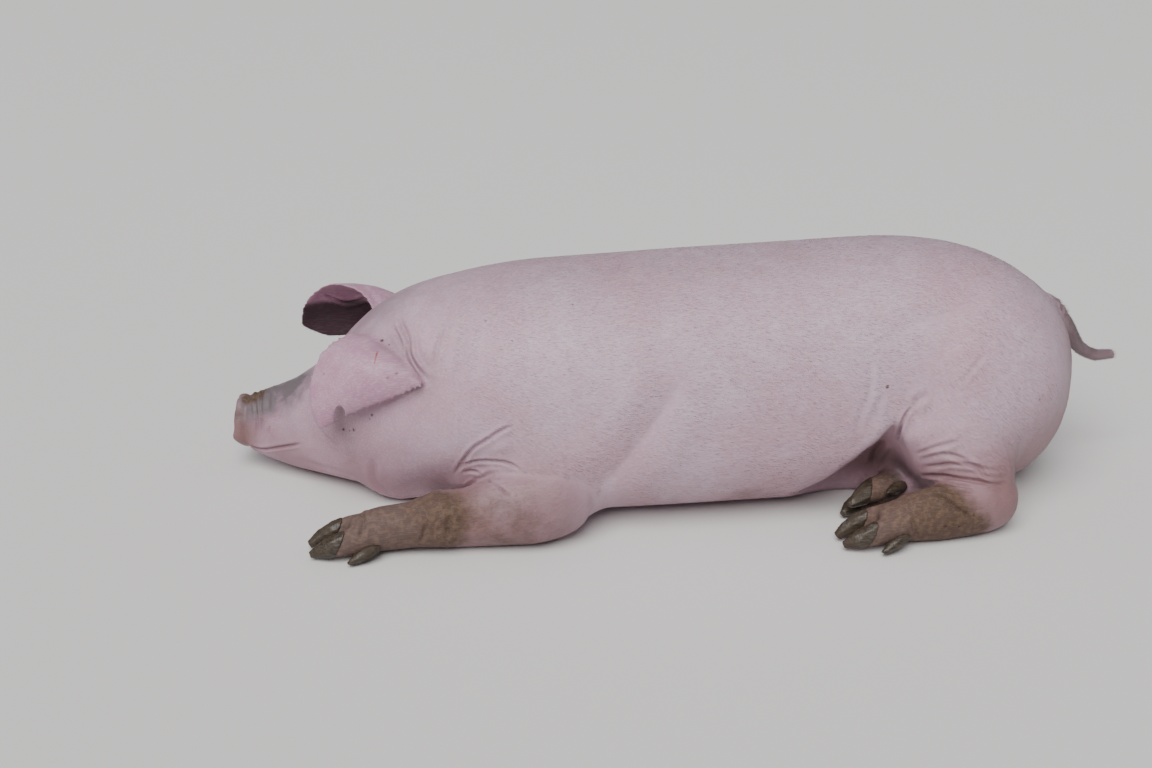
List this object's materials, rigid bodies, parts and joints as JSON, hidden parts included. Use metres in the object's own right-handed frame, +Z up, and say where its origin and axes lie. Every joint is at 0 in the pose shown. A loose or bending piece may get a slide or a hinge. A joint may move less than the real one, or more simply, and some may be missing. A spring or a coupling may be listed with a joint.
{
  "type": "lying pig",
  "caption": "Market pig at rest on its chest, head on the floor, forelegs stretched forward, hind legs folded, big ears drooping forward and a short hanging tail.",
  "frame": {"origin": "on the floor, under the middle of the bounding box", "axes": "+X from the head towards the tail, +Y to the pig's right, +Z up"},
  "size_m": [1.456, 0.6004, 0.3939],
  "materials": {
    "skin": "short white hair over pale pink skin",
    "claw": "dull horn, soiled",
    "eye": "wet and glossy"
  },
  "bodies": {
    "root": {"chest": "skin", "claw_fore_left_inner": "claw", "claw_fore_left_outer": "claw", "claw_fore_right_inner": "claw", "claw_fore_right_outer": "claw", "claw_hind_left_inner": "claw", "claw_hind_left_outer": "claw", "claw_hind_right_inner": "claw", "claw_hind_right_outer": "claw", "dewclaw_fore_left_inner": "claw", "dewclaw_fore_left_outer": "claw", "dewclaw_fore_right_inner": "claw", "dewclaw_fore_right_outer": "claw", "dewclaw_hind_left_inner": "claw", "dewclaw_hind_left_outer": "claw", "dewclaw_hind_right_inner": "claw", "dewclaw_hind_right_outer": "claw", "ear_left": "skin", "ear_right": "skin", "eye_left": "eye", "eye_right": "eye", "foot_fore_left": "skin", "foot_fore_right": "skin", "foot_hind_left": "skin", "foot_hind_right": "skin", "fore_cannon_left": "skin", "fore_cannon_right": "skin", "forearm_left": "skin", "forearm_right": "skin", "head": "skin", "hind_left_cannon": "skin", "hind_left_shank": "skin", "hind_right_cannon": "skin", "lower_jaw": "skin", "neck": "skin", "rump": "skin", "snout": "skin", "tail": "skin", "thigh_left": "skin", "thigh_right": "skin", "trunk": "skin"}
  },
  "joints": []
}
